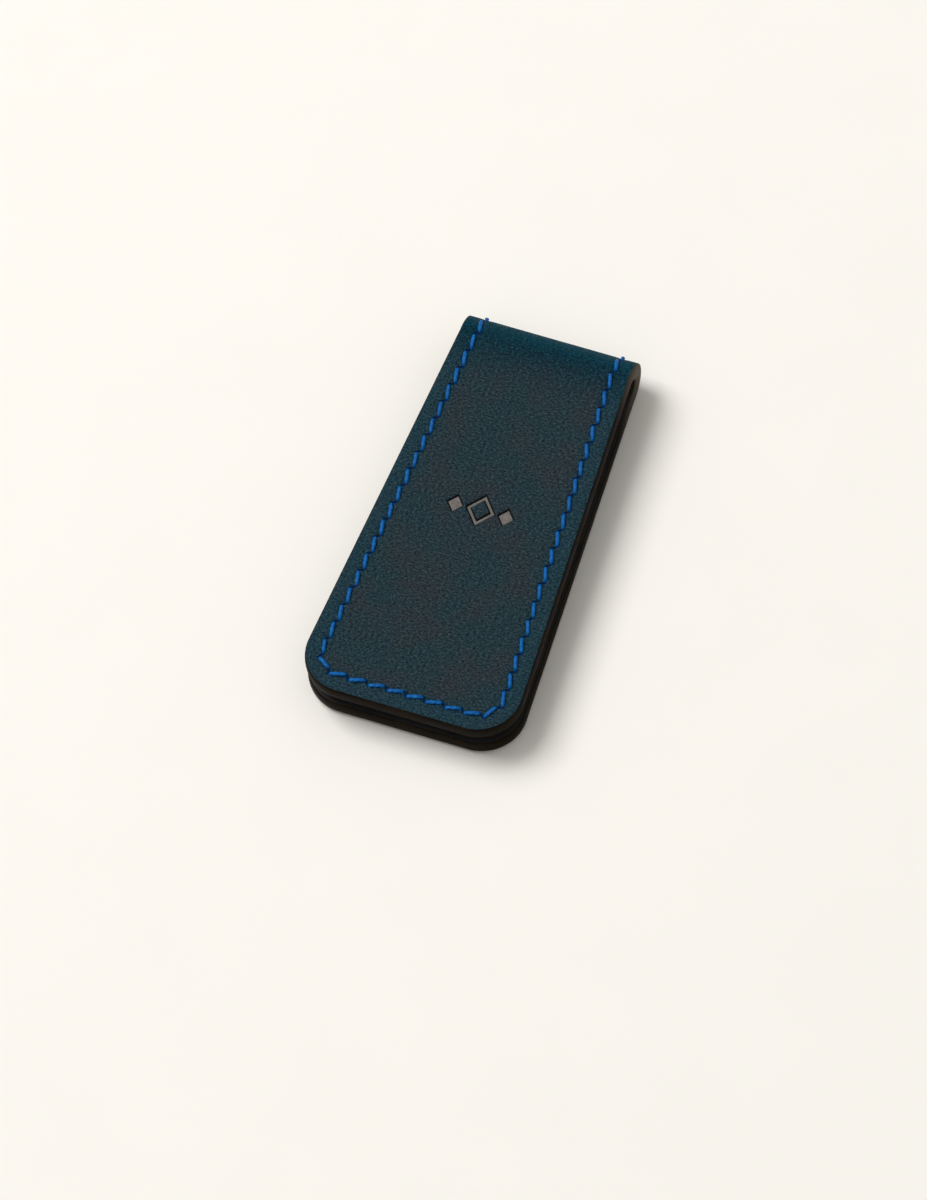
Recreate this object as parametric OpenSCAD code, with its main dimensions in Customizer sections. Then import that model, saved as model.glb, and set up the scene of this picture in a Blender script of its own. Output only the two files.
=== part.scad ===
// Magnetic money clip: a tapered strip of three bonded leather layers, folded in half round
// a short bend, with a disc magnet in each arm and one saddle-stitched seam all round.
// The lower arm lies flat on z = 0, the fold is at +Y and the rounded tips are at -Y.

/* [Strip outline] */
// Length of the folded clip, from the rounded tips to the crest of the fold
clip_len = 73.5; // [60:0.5:95]
// Width of each arm across its rounded tip
tip_w = 38.6; // [31:0.2:46]
// Width of the strip across the fold
fold_w = 30.2; // [24:0.2:31]
// Radius of the two rounded corners of each tip
corner_r = 7.5; // [5:0.5:10]

/* [Leather layers] */
// Thickness of the coloured outer leather
outer_t = 1.1; // [0.9:0.05:1.6]
// Thickness of the leather filler between the two faces
filler_t = 0.8; // [0.6:0.05:1.2]
// Thickness of the lining leather on the gripping side
lining_t = 0.9; // [0.8:0.05:1.3]

/* [Fold] */
// Clear gap between the arms where the bend starts
fold_gap = 3.2; // [2.4:0.1:3.9]
// Clear gap between the arms at their tips
tip_gap = 2.1; // [0.8:0.1:2.3]

/* [Magnets] */
// Diameter of the disc magnets
magnet_d = 12.7; // [8:0.1:15.5]
// Thickness of the disc magnets
magnet_t = 1.5; // [1:0.1:1.7]
// Distance from the tip to the middle of each magnet
magnet_inset = 17.5; // [14:0.5:24]
// Gap all round each magnet in its pocket
magnet_clear = 0.05; // [0.02:0.01:0.15]

/* [Seam] */
// Distance from the edge of the strip to the seam
seam_inset = 3.1; // [2:0.05:3.6]
// Radius of the seam where it turns at the two corners of each tip
seam_corner_r = 3.4; // [2.4:0.1:6]
// Wanted length of one stitch, adjusted a little so that a whole number fits
stitch_pitch = 3.38; // [2.6:0.02:4.5]
// Thickness of the waxed thread
thread_d = 0.6; // [0.4:0.05:0.7]
// Thickness of the thread where it is pulled tight through the awl holes
leg_d = 0.5; // [0.3:0.05:0.55]
// Gap between the thread and the leather round it
thread_clear = 0.05; // [0.02:0.01:0.1]
// Half the gap between one stitch and the next
stitch_end_gap = 0.3; // [0.2:0.05:0.5]

/* [Ornament] */
// Distance from the tip to the middle of the pressed ornament
ornament_inset = 38.5; // [33:0.5:50]
// Height of the middle lozenge of the ornament
lozenge_h = 6; // [4:0.2:8]
// Width of the middle lozenge of the ornament
lozenge_w = 5.2; // [4:0.2:7]
// Scale of the two side lozenges against the middle one
side_lozenge_scale = 0.56; // [0.4:0.02:0.7]
// Width of the pressed line
ornament_line = 0.75; // [0.4:0.05:0.9]
// Depth of the pressed line
ornament_depth = 0.35; // [0.2:0.05:0.45]

/* [Hidden] */

$fn = 64;
thread_fn = 20;
eps = 0.01;

// Layer heights in an arm that lies outer face down, as the lower arm does
strip_t = outer_t + filler_t + lining_t;
filler_z = outer_t;
lining_z = outer_t + filler_t;
magnet_z = outer_t + filler_t / 2 - magnet_t / 2;

// The bend is a half ring round the X axis through its centre
bend_in_r = fold_gap / 2;
bend_out_r = bend_in_r + strip_t;
tip_y = -clip_len / 2;
bend_y = clip_len / 2 - bend_out_r;
bend_z = bend_out_r;
arm_len = bend_y - tip_y;
// Slope of the upper arm that closes the fold gap down to the tip gap
arm_tilt = asin((fold_gap - tip_gap) / arm_len);
bend_angle = 180 + arm_tilt;

// Outline of one arm: straight tapering sides, a straight end and two round corners
taper = atan((tip_w - fold_w) / 2 / arm_len);
corner_x = tip_w / 2 - tan(taper) * corner_r - corner_r / cos(taper);
corner_y = tip_y + corner_r;

// Seam: the outline's straight lines moved inwards and joined by tighter corners
seam_end_y = tip_y + seam_inset;
seam_corner_y = seam_end_y + seam_corner_r;
bend_seam_x = fold_w / 2 - seam_inset / cos(taper);
seam_corner_x = bend_seam_x + tan(taper) * (bend_y - seam_corner_y) - seam_corner_r / cos(taper);
seam_side_len = (bend_y - seam_corner_y - seam_corner_r * sin(taper)) / cos(taper);
seam_corner_len = seam_corner_r * (90 + taper) * PI / 180;
seam_end_len = 2 * seam_corner_x;
seam_len = 2 * seam_side_len + 2 * seam_corner_len + seam_end_len;
// An even count, so that both halves of the seam mirror each other
arm_stitches = 2 * round(seam_len / 2 / stitch_pitch);
arm_pitch = seam_len / arm_stitches;
// Stitches round the bend, spaced on its outer face
bend_stitches = round(bend_out_r * bend_angle * PI / 180 / stitch_pitch);
bend_pitch = bend_angle / bend_stitches;

outer_colour = [0.13, 0.22, 0.26];
filler_colour = [0.33, 0.27, 0.22];
lining_colour = [0.17, 0.15, 0.14];
thread_colour = [0.13, 0.42, 0.78];
magnet_colour = [0.75, 0.76, 0.78];

// ---- Paths ----

// Point on the seam of one arm at a length s from the fold on the +X side
function seam_point(s) =
    s > seam_len / 2 ? mirror_x(seam_point(seam_len - s)) :
    s < seam_side_len ? seam_on_side(s) :
    s < seam_side_len + seam_corner_len ? seam_on_corner(s - seam_side_len) :
    [seam_corner_x - (s - seam_side_len - seam_corner_len), seam_end_y];

function seam_on_side(s) = [bend_seam_x + s * sin(taper), bend_y - s * cos(taper)];

function seam_on_corner(s) =
    let (a = taper - s / seam_corner_r * 180 / PI)
    [seam_corner_x + seam_corner_r * cos(a), seam_corner_y + seam_corner_r * sin(a)];

function mirror_x(p) = [-p[0], p[1]];

// Ends of the stitch number i, the first one being the end nearer the fold
function stitch_ends(i) =
    let (a = seam_point(i * arm_pitch + stitch_end_gap),
         b = seam_point((i + 1) * arm_pitch - stitch_end_gap))
    i < arm_stitches / 2 ? [a, b] : [b, a];

// ---- Shared shapes ----

// Plan outline of an arm
module arm_outline() {
    side_x = corner_x + corner_r * cos(taper);
    side_y = corner_y + corner_r * sin(taper);
    polygon([[-corner_x, tip_y], [corner_x, tip_y], [side_x, side_y], [fold_w / 2, bend_y],
             [-fold_w / 2, bend_y], [-side_x, side_y]]);
    for (side = [-1, 1])
        translate([side * corner_x, corner_y])
            circle(corner_r);
}

// One leather layer of an arm, from height z0 up
module arm_layer(z0, thickness) {
    translate([0, 0, z0])
        linear_extrude(thickness)
            arm_outline();
}

// Half ring of the bend between two radii, as wide as w
module bend_layer(r_in, r_out, w) {
    translate([0, bend_y, bend_z])
        rotate([90, 0, 90])
            rotate([0, 0, -90])
                rotate_extrude(angle = bend_angle)
                    translate([r_in, -w / 2])
                        square([r_out - r_in, w]);
}

// Lays a shape out of the bend's own plane: first its angle from the bottom, then its radius
module at_bend(angle, x) {
    translate([x, bend_y, bend_z])
        rotate([90, 0, 90])
            rotate([0, 0, angle - 90])
                children();
}

// Turns a lower arm's shape into the same shape of the upper arm
module as_upper_arm() {
    translate([0, bend_y, bend_z])
        rotate([arm_tilt, 0, 0])
            mirror([0, 0, 1])
                translate([0, -bend_y, -bend_z])
                    children();
}

// ---- Stitches ----

// One stitch of an arm: a run on each face, joined by the leg through the far awl hole
module arm_stitch(i) {
    ends = stitch_ends(i);
    step = ends[1] - ends[0];
    run = norm(step);
    translate([ends[0][0], ends[0][1], 0])
        rotate([0, 0, atan2(step[1], step[0])]) {
            for (z = [thread_d / 2, strip_t - thread_d / 2])
                translate([0, 0, z])
                    rotate([0, 90, 0])
                        cylinder(d = thread_d, h = run, $fn = thread_fn);
            translate([run - leg_d, 0, thread_d / 2])
                cylinder(d = leg_d, h = strip_t - thread_d, $fn = thread_fn);
        }
}

// The room that the stitch takes in the leather: two sunk channels and the awl hole
module arm_stitch_room(i) {
    ends = stitch_ends(i);
    step = ends[1] - ends[0];
    run = norm(step);
    channel_w = thread_d + 2 * thread_clear;
    translate([ends[0][0], ends[0][1], 0])
        rotate([0, 0, atan2(step[1], step[0])]) {
            for (z = [-eps, strip_t - thread_d - thread_clear])
                translate([-thread_clear, -channel_w / 2, z])
                    cube([run + 2 * thread_clear, channel_w, thread_d + thread_clear + eps]);
            translate([run - leg_d, 0, 0])
                cylinder(d = leg_d + 2 * thread_clear, h = strip_t, $fn = thread_fn);
        }
}

module arm_seam_room() {
    for (i = [0 : arm_stitches - 1])
        arm_stitch_room(i);
}

module arm_seam() {
    for (i = [0 : arm_stitches - 1])
        arm_stitch(i);
}

// Angle that a length on the bend's outer face spans
function bend_span(length) = length / bend_out_r * 180 / PI;

// One stitch of the bend, following the curve on both faces
module bend_stitch(i, x) {
    gap = bend_span(stitch_end_gap);
    first = i * bend_pitch + gap;
    span = bend_pitch - 2 * gap;
    at_bend(first, x) {
        for (r = [bend_in_r + thread_d / 2, bend_out_r - thread_d / 2])
            rotate_extrude(angle = span)
                translate([r, 0])
                    circle(d = thread_d, $fn = thread_fn);
        rotate([0, 0, span - bend_span(leg_d)])
            translate([bend_in_r + thread_d / 2, 0, 0])
                rotate([0, 90, 0])
                    cylinder(d = leg_d, h = strip_t - thread_d, $fn = thread_fn);
    }
}

// The room that the stitch takes in the bend
module bend_stitch_room(i, x) {
    gap = bend_span(stitch_end_gap);
    side = bend_span(thread_clear);
    first = i * bend_pitch + gap;
    span = bend_pitch - 2 * gap;
    channel_w = thread_d + 2 * thread_clear;
    depth = thread_d + thread_clear + eps;
    at_bend(first - side, x) {
        for (r = [bend_in_r - eps, bend_out_r - thread_d - thread_clear])
            rotate_extrude(angle = span + 2 * side)
                translate([r, -channel_w / 2])
                    square([depth, channel_w]);
        rotate([0, 0, span + side - bend_span(leg_d)])
            translate([bend_in_r, 0, 0])
                rotate([0, 90, 0])
                    cylinder(d = leg_d + 2 * thread_clear, h = strip_t, $fn = thread_fn);
    }
}

module bend_seam_room() {
    for (side = [-1, 1], i = [0 : bend_stitches - 1])
        bend_stitch_room(i, side * bend_seam_x);
}

module bend_seam() {
    for (side = [-1, 1], i = [0 : bend_stitches - 1])
        bend_stitch(i, side * bend_seam_x);
}

// ---- Magnets ----

module arm_magnet() {
    translate([0, tip_y + magnet_inset, magnet_z])
        cylinder(d = magnet_d, h = magnet_t);
}

// The pocket that holds the magnet, in the filler and in both faces beside it
module magnet_pocket() {
    translate([0, tip_y + magnet_inset, magnet_z - magnet_clear])
        cylinder(d = magnet_d + 2 * magnet_clear, h = magnet_t + 2 * magnet_clear);
}

// ---- Ornament ----

module lozenge_ring(w, h) {
    inner = 1 - 2 * ornament_line * norm([w, h]) / (w * h);
    difference() {
        lozenge(w, h);
        lozenge(w * inner, h * inner);
    }
}

module lozenge(w, h) {
    polygon([[w / 2, 0], [0, h / 2], [-w / 2, 0], [0, -h / 2]]);
}

// A row of three lozenges, pressed into the outer face of the upper arm
module ornament_room() {
    side_x = lozenge_w / 2 + lozenge_w * side_lozenge_scale / 2 + ornament_line / 2;
    translate([0, tip_y + ornament_inset, -eps])
        linear_extrude(ornament_depth + eps) {
            lozenge_ring(lozenge_w, lozenge_h);
            for (side = [-1, 1])
                translate([side * side_x, 0])
                    lozenge(lozenge_w * side_lozenge_scale, lozenge_h * side_lozenge_scale);
        }
}

// ---- Layers of one arm ----

module arm_outer() {
    difference() {
        arm_layer(0, outer_t);
        arm_seam_room();
        magnet_pocket();
    }
}

module arm_filler() {
    difference() {
        arm_layer(filler_z, filler_t);
        arm_seam_room();
        magnet_pocket();
    }
}

module arm_lining() {
    difference() {
        arm_layer(lining_z, lining_t);
        arm_seam_room();
        magnet_pocket();
    }
}

// ---- Sub-parts ----

module outer_upper() {
    color(outer_colour)
        as_upper_arm()
            difference() {
                arm_outer();
                ornament_room();
            }
}

module outer_bend() {
    color(outer_colour)
        difference() {
            bend_layer(bend_out_r - outer_t, bend_out_r, fold_w);
            bend_seam_room();
        }
}

module outer_lower() {
    color(outer_colour)
        arm_outer();
}

module filler_upper() {
    color(filler_colour)
        as_upper_arm()
            arm_filler();
}

module filler_bend() {
    color(filler_colour)
        difference() {
            bend_layer(bend_in_r + lining_t, bend_out_r - outer_t, fold_w);
            bend_seam_room();
        }
}

module filler_lower() {
    color(filler_colour)
        arm_filler();
}

module lining_upper() {
    color(lining_colour)
        as_upper_arm()
            arm_lining();
}

module lining_bend() {
    color(lining_colour)
        difference() {
            bend_layer(bend_in_r, bend_in_r + lining_t, fold_w);
            bend_seam_room();
        }
}

module lining_lower() {
    color(lining_colour)
        arm_lining();
}

module magnet_upper() {
    color(magnet_colour)
        as_upper_arm()
            arm_magnet();
}

module magnet_lower() {
    color(magnet_colour)
        arm_magnet();
}

module stitches_upper() {
    color(thread_colour)
        as_upper_arm()
            arm_seam();
}

module stitches_bend() {
    color(thread_colour)
        bend_seam();
}

module stitches_lower() {
    color(thread_colour)
        arm_seam();
}

outer_upper();
outer_bend();
outer_lower();
filler_upper();
filler_bend();
filler_lower();
lining_upper();
lining_bend();
lining_lower();
magnet_upper();
magnet_lower();
stitches_upper();
stitches_bend();
stitches_lower();
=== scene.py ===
# %% [markdown]
# # A folded leather money clip
#
# The clip is one tapered strip of three leathers bonded together, folded in half round a short bend,
# with a disc magnet in each arm and one blue saddle-stitched seam all round its edge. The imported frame
# gives the sizes, the bodies and the joint; this lesson dresses it. Leather is a sheet, so every
# strip is first drawn flat, in hide coordinates, and then laid round the fold: one place to draw
# stitches, pressed lines and grain, whatever the strip does afterwards.

# %% Load the frame
import math

import bpy
import numpy as np
from mathutils import Matrix, Vector
from mathutils.geometry import delaunay_2d_cdt
from mathutils.kdtree import KDTree


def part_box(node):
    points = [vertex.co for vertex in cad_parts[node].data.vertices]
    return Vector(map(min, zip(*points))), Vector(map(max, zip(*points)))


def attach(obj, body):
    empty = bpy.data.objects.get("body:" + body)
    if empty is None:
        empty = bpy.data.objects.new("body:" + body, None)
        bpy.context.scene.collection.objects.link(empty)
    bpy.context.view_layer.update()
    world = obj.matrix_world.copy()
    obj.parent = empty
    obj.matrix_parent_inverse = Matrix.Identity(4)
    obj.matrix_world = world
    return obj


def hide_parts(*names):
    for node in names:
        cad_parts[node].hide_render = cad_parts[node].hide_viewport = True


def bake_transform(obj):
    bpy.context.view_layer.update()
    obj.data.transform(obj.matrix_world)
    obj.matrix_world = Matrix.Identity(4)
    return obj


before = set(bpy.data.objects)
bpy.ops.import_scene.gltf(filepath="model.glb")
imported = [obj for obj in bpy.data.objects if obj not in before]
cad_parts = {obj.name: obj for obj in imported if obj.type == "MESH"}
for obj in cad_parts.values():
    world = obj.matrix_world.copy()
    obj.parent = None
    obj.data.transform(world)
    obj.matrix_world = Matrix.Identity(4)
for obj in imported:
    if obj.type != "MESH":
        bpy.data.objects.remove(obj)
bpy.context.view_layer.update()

# %% [markdown]
# ## Measures
#
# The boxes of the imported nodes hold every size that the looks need. The lower arm lies flat, so its
# layers give the three thicknesses, and its far end is where the bend begins. The rest follows: the
# bend's radius, and the small slope that brings the upper arm down to the gap at the tips.
# All measures below are in millimetres, and meshes are turned into metres when they are made.

# %% Sizes from the frame
MM = 0.001


def box_mm(node):
    low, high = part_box(node)
    return np.array(low) / MM, np.array(high) / MM


outer_low, outer_high = box_mm("outer_lower")
filler_high = box_mm("filler_lower")[1]
lining_high = box_mm("lining_lower")[1]
bend_high = box_mm("outer_bend")[1]
upper_lining_low = box_mm("lining_upper")[0]
seam_low, seam_high = box_mm("stitches_bend")
magnet_low, magnet_high = box_mm("magnet_lower")

OUTER_T = outer_high[2]
FILLER_END_T = filler_high[2]
STRIP_T = lining_high[2]
BEND_Y = outer_high[1]
ARM = BEND_Y - outer_low[1]
BEND_R = bend_high[1] - BEND_Y
TIP_GAP = upper_lining_low[2] - STRIP_T
FOLD_GAP = 2 * (BEND_R - STRIP_T)
TILT = math.asin((FOLD_GAP - TIP_GAP) / ARM)
BEND_SPAN = math.pi + TILT
BEND_LEN = BEND_R * BEND_SPAN
FOLD_HALF = bend_high[0]
TIP_HALF = outer_high[0]
MAGNET_R = (magnet_high[0] - magnet_low[0]) / 2
MAGNET_V = (magnet_low[1] + magnet_high[1]) / 2 - BEND_Y
MAGNET_T = magnet_high[2] - magnet_low[2]
print(f"strip {STRIP_T:.2f} thick, arm {ARM:.1f} long")
print(f"bend radius {BEND_R:.2f}, tilt {math.degrees(TILT):.2f} degrees")

# %% [markdown]
# ## From the flat hide to the folded clip
#
# A point of the hide has three coordinates: x across the strip, v along it, and t, its depth under the
# coloured face. On the upper arm v runs from minus the arm's length at the tip to 0 at the bend. It
# then runs round the bend and out along the lower arm. Seen from outside, x and v are right-handed
# everywhere, so a face wound anticlockwise on the drawing also faces outwards on the clip.

# %% Place hide points on the clip
def place(x, v, t):
    """Hide coordinates in millimetres to places on the folded clip, in metres."""
    x, v, t = np.broadcast_arrays(np.asarray(x, float), np.asarray(v, float), np.asarray(t, float))
    turn = math.pi / 2 + TILT - np.clip(v / BEND_LEN, 0, 1) * BEND_SPAN
    radius = BEND_R - t
    y = BEND_Y + radius * np.cos(turn)
    z = BEND_R + radius * np.sin(turn)
    before = np.minimum(v, 0)
    y += before * math.cos(TILT) - np.maximum(v - BEND_LEN, 0)
    z += before * math.sin(TILT)
    return np.stack([x, y, z], -1) * MM


tips = place([0, 0], [-ARM, BEND_LEN + ARM], [0, 0]) / MM
print("outer face at the two tips:", tips.round(2).tolist())


# %% One rule for both arms
def as_upper(v):
    """The length along the upper arm that matches v, so that both arms share one rule."""
    return np.where(v > BEND_LEN / 2, BEND_LEN - v, v)


print("the lower tip matches", round(float(as_upper(BEND_LEN + ARM)), 2), "on the upper arm")

# %% [markdown]
# ## The outline
#
# Each arm tapers from a wide rounded tip to the waist at the fold. The outline is kept as a list of
# points with their outward directions, so the same loop can be drawn in again at any inset: the rim of
# the coloured face, each step of the rounded edge, and the joints between layers all share its points.

# %% Outline of the strip
CORNER_R = 7.5
TAPER = math.atan((TIP_HALF - FOLD_HALF) / (ARM - CORNER_R))
CORNER_X = TIP_HALF - CORNER_R
CORNER_V = CORNER_R - ARM
OUTLINE_STEP = 0.5


def spaced(a, b, step):
    """Points from a to b without b, about a step apart."""
    a, b = np.asarray(a, float), np.asarray(b, float)
    count = max(1, round(float(np.linalg.norm(b - a)) / step))
    return [a + (b - a) * i / count for i in range(count)]


def quarter_outline():
    """One quarter of the outline, from the middle of the upper tip to the start of the bend."""
    points = [(p, (0, -1)) for p in spaced((0, -ARM), (CORNER_X, -ARM), OUTLINE_STEP)]
    steps = round(CORNER_R * (math.pi / 2 + TAPER) / OUTLINE_STEP)
    for i in range(steps + 1):
        a = -math.pi / 2 + (math.pi / 2 + TAPER) * i / steps
        out = (math.cos(a), math.sin(a))
        points.append(((CORNER_X + CORNER_R * out[0], CORNER_V + CORNER_R * out[1]), out))
    side = spaced(points.pop()[0], (FOLD_HALF, 0), OUTLINE_STEP)
    return points + [(p, (math.cos(TAPER), math.sin(TAPER))) for p in side]


def whole_outline():
    """Points and outward directions of the whole outline, anticlockwise from the upper tip."""
    quarter = quarter_outline()
    bend = [(p, (1, 0)) for p in spaced((FOLD_HALF, 0), (FOLD_HALF, BEND_LEN / 2), OUTLINE_STEP)]
    half = quarter + bend + [((FOLD_HALF, BEND_LEN / 2), (1, 0))]
    over = [((p[0], BEND_LEN - p[1]), (n[0], -n[1])) for p, n in reversed(half[:-1])]
    right = half + over
    left = [((-p[0], p[1]), (-n[0], n[1])) for p, n in reversed(right[1:-1])]
    loop = right + left
    return np.array([p for p, n in loop]), np.array([n for p, n in loop])


RIM, RIM_OUT = whole_outline()
print("outline:", len(RIM), "points,", f"tip half width {TIP_HALF:.2f}, waist {FOLD_HALF:.2f}")


# %% Distance in from the outline
def edge_room(x, v):
    """How far a hide point lies inside the outline."""
    x = np.abs(x)
    v = as_upper(v)
    side = (FOLD_HALF - np.minimum(v, 0) * math.tan(TAPER) - x) * math.cos(TAPER)
    room = np.minimum(side, v + ARM)
    corner = (x > CORNER_X) & (v < CORNER_V)
    arc = CORNER_R - np.hypot(x - CORNER_X, v - CORNER_V)
    return np.where(corner, arc, room)


print(f"room in the middle of the fold: {edge_room(0.0, 0.0):.2f}")

# %% [markdown]
# ## The seam
#
# A saddle stitcher first marks the seam with a pricking iron, whose teeth cut slanted slits an even
# step apart. The thread leaves one slit at its far end and enters the next at its near end, so every
# stitch leans the other way from the slits, which gives hand sewing its look. The slits are worked
# out once, as one closed loop of places and directions, and the leather and the thread both use it.

# %% Line of the seam
THREAD_D = 0.6
SEAM_CORNER_R = 3.4
SEAM_ARC_STEPS = 32
SEAM_X = (seam_high[0] - seam_low[0] - THREAD_D) / 2
SEAM_INSET = (FOLD_HALF - SEAM_X) * math.cos(TAPER)


def arm_seam():
    """The seam of the upper arm as a fine line, from the bend on the +X side round the tip."""
    end_v = -ARM + SEAM_INSET
    corner_v = end_v + SEAM_CORNER_R
    corner_x = SEAM_X - corner_v * math.tan(TAPER) - SEAM_CORNER_R / math.cos(TAPER)
    arc = []
    for i in range(SEAM_ARC_STEPS + 1):
        a = TAPER - (math.pi / 2 + TAPER) * i / SEAM_ARC_STEPS
        arc.append((corner_x + SEAM_CORNER_R * math.cos(a), corner_v + SEAM_CORNER_R * math.sin(a)))
    half = [(SEAM_X, 0)] + arc + [(0, end_v)]
    return np.array(half + [(-x, v) for x, v in reversed(half[:-1])])


print(f"seam {SEAM_INSET:.2f} in from the edge")

# %% Slits along the seam
STITCH_WANTED = 3.38
BEND_STITCHES = 4
SLIT_LEAN = math.radians(-58)
SLIT_HALF = 0.78


def walk(line, count):
    """Count + 1 points an even step apart along a line."""
    steps = np.linalg.norm(np.diff(line, axis=0), axis=1)
    run = np.concatenate([[0], np.cumsum(steps)])
    at = np.linspace(0, run[-1], count + 1)
    return np.stack([np.interp(at, run, line[:, i]) for i in (0, 1)], -1), run[-1]


def seam_slits():
    line = arm_seam()
    length = walk(line, 1)[1]
    count = 2 * round(length / 2 / STITCH_WANTED)
    upper, length = walk(line, count)
    step = BEND_LEN / BEND_STITCHES
    left = [(-SEAM_X, step * i) for i in range(1, BEND_STITCHES)]
    lower = [(x, BEND_LEN - v) for x, v in reversed(upper)]
    right = [(SEAM_X, BEND_LEN - step * i) for i in range(1, BEND_STITCHES)]
    print(f"{count} stitches on each arm, {length / count:.2f} long")
    print(f"{BEND_STITCHES} stitches on each side of the bend")
    return np.array(list(map(tuple, upper)) + left + lower + right)


SLITS = seam_slits()
ALONG = np.roll(SLITS, -1, 0) - np.roll(SLITS, 1, 0)
ALONG /= np.linalg.norm(ALONG, axis=1)[:, None]


def turned(d, angle):
    c, s = math.cos(angle), math.sin(angle)
    return np.stack([d[..., 0] * c - d[..., 1] * s, d[..., 0] * s + d[..., 1] * c], -1)


SLIT_DIR = turned(ALONG, SLIT_LEAN)
print(len(SLITS), "slits in one closed seam")


# %% Distance from the seam
def seam_distance(x, v):
    """Distance of hide points from the seam's line."""
    p = np.stack([x, v], -1)
    best = np.full(len(p), np.inf)
    for a, b in zip(SLITS, np.roll(SLITS, -1, 0)):
        d = b - a
        k = np.clip((p - a) @ d / (d @ d), 0, 1)
        best = np.minimum(best, np.linalg.norm(p - a - k[:, None] * d, axis=1))
    return best


print(f"seam to the middle of the fold: {seam_distance(np.zeros(1), np.zeros(1))[0]:.2f}")

# %% [markdown]
# ## Relief in the leather
#
# Everything that marks the leather is a depth below its face: the seam lies in a shallow trough pulled
# down by the thread, each slit is a narrow pit, the magnet lifts a faint round plateau, and the row of
# lozenges near the middle of the upper arm is pressed in with a heated die. Each mark is its own short
# function of the place on the hide. Their depths add up, and a slit then goes to at least its own depth.

# %% Depth of the seam's trough and slits
TROUGH_DEPTH = 0.13
TROUGH_WIDTH = 0.55
SLIT_DEPTH = 0.32
SLIT_WIDTH = 0.19


def smooth(a, b, x):
    k = np.clip((x - a) / (b - a), 0, 1)
    return k * k * (3 - 2 * k)


def trough(x, v):
    return TROUGH_DEPTH * np.exp(-((seam_distance(x, v) / TROUGH_WIDTH) ** 2))


def slit_reach(x, v):
    """Below 0 inside a slit, above 0 outside, in millimetres across the slit."""
    p = np.stack([x, v], -1)
    best = np.full(len(p), np.inf)
    for c, d in zip(SLITS, SLIT_DIR):
        q = p - c
        a = q @ d
        b = np.abs(q[:, 0] * -d[1] + q[:, 1] * d[0])
        half = SLIT_WIDTH * np.clip(1 - (a / SLIT_HALF) ** 2, -1, 1)
        best = np.minimum(best, np.where(np.abs(a) < SLIT_HALF * 1.6, b - half, np.inf))
    return best


def slit_depth(x, v, deepest):
    return deepest * (1 - smooth(-0.1, 0.05, slit_reach(x, v)))


print(f"trough {TROUGH_DEPTH} deep, slits {SLIT_DEPTH} deep")

# %% Depth of the pressed lozenges
ORNAMENT_DEPTH = 0.35
ORNAMENT_LINE = 0.75
ORNAMENT_LIP = 0.05
LOZENGE = (2.6, 3.0)
SIDE_SCALE = 0.56
SIDE_X = LOZENGE[0] * (1 + SIDE_SCALE) + ORNAMENT_LINE / 2
ORNAMENT_AT = 38.5 - ARM


def lozenge_reach(x, v, centre, half):
    """Signed distance from a lozenge's edge, negative inside."""
    a, b = half
    return (np.abs(x - centre[0]) * b + np.abs(v - centre[1]) * a - a * b) / math.hypot(a, b)


def ornament_reach(x, v):
    """Signed distance from the pressed ornament: a ring between two solid side lozenges."""
    outer = lozenge_reach(x, v, (0, ORNAMENT_AT), LOZENGE)
    best = np.maximum(outer, -(outer + ORNAMENT_LINE))
    side = [h * SIDE_SCALE for h in LOZENGE]
    for s in (-1, 1):
        best = np.minimum(best, lozenge_reach(x, v, (s * SIDE_X, ORNAMENT_AT), side))
    return best


def ornament(x, v):
    reach = ornament_reach(x, v)
    lip = ORNAMENT_LIP * (1 - smooth(0, 0.35, reach))
    wall = (ORNAMENT_DEPTH - ORNAMENT_LIP) * (1 - smooth(-0.16, 0.05, reach))
    return lip + wall


print(f"lozenges {ORNAMENT_DEPTH} deep, {2 * (SIDE_X + LOZENGE[0] * SIDE_SCALE):.1f} across the row")

# %% Plateau, waves and creases
PLATEAU = 0.07
WAVES = 7
CREASES = 60
CREASE_SEED = 5
CREASE_LIMIT = 1.6


def plateau(x, v):
    """The faint lift over a magnet, on either arm."""
    v = as_upper(v)
    return -PLATEAU * (1 - smooth(MAGNET_R - 0.3, MAGNET_R + 1.0, np.hypot(x, v - MAGNET_V)))


def waves(x, v, size, seed):
    """Slow, smooth unevenness between -1 and 1, from a few crossed waves."""
    rng = np.random.default_rng(seed)
    total = np.zeros_like(x)
    for _ in range(WAVES):
        angle, phase = rng.uniform(0, math.tau, 2)
        k = math.tau / (size * rng.uniform(0.6, 1.6))
        total += np.sin(k * (x * math.cos(angle) + v * math.sin(angle)) + phase)
    return total / WAVES


def creases(x, v):
    """Fine creases across the bend, where the face leather is stretched over it."""
    rng = np.random.default_rng(CREASE_SEED)
    total = np.zeros_like(x)
    for _ in range(CREASES):
        at = rng.normal(BEND_LEN * 0.35, 5.0)
        middle = rng.uniform(-FOLD_HALF, FOLD_HALF)
        reach = rng.uniform(1.5, 5.0)
        lean = rng.uniform(-0.12, 0.12)
        width = rng.uniform(0.16, 0.3)
        across = (v - at - lean * (x - middle)) / width
        total += np.exp(-(across ** 2) - ((x - middle) / reach) ** 2)
    return np.clip(total, 0, CREASE_LIMIT)


print(f"magnets lift the leather by {PLATEAU}, {CREASES} creases over the bend")

# %% Depth of each sheet
FACE_WAVE = 0.02
LINING_WAVE = 0.015
CREASE_DEPTH = 0.022
LINING_SHARE = 0.8
POCKET_SLACK = 0.02


def face_depth(x, v):
    """Depth of the coloured face below the flat hide."""
    depth = trough(x, v) + plateau(x, v) + ornament(x, v)
    depth += FACE_WAVE * waves(x, v, size=14, seed=3) * smooth(0.3, 2, edge_room(x, v))
    depth += CREASE_DEPTH * creases(x, v) * smooth(0.3, 1.2, edge_room(x, v))
    return np.maximum(depth, slit_depth(x, v, SLIT_DEPTH))


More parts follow.
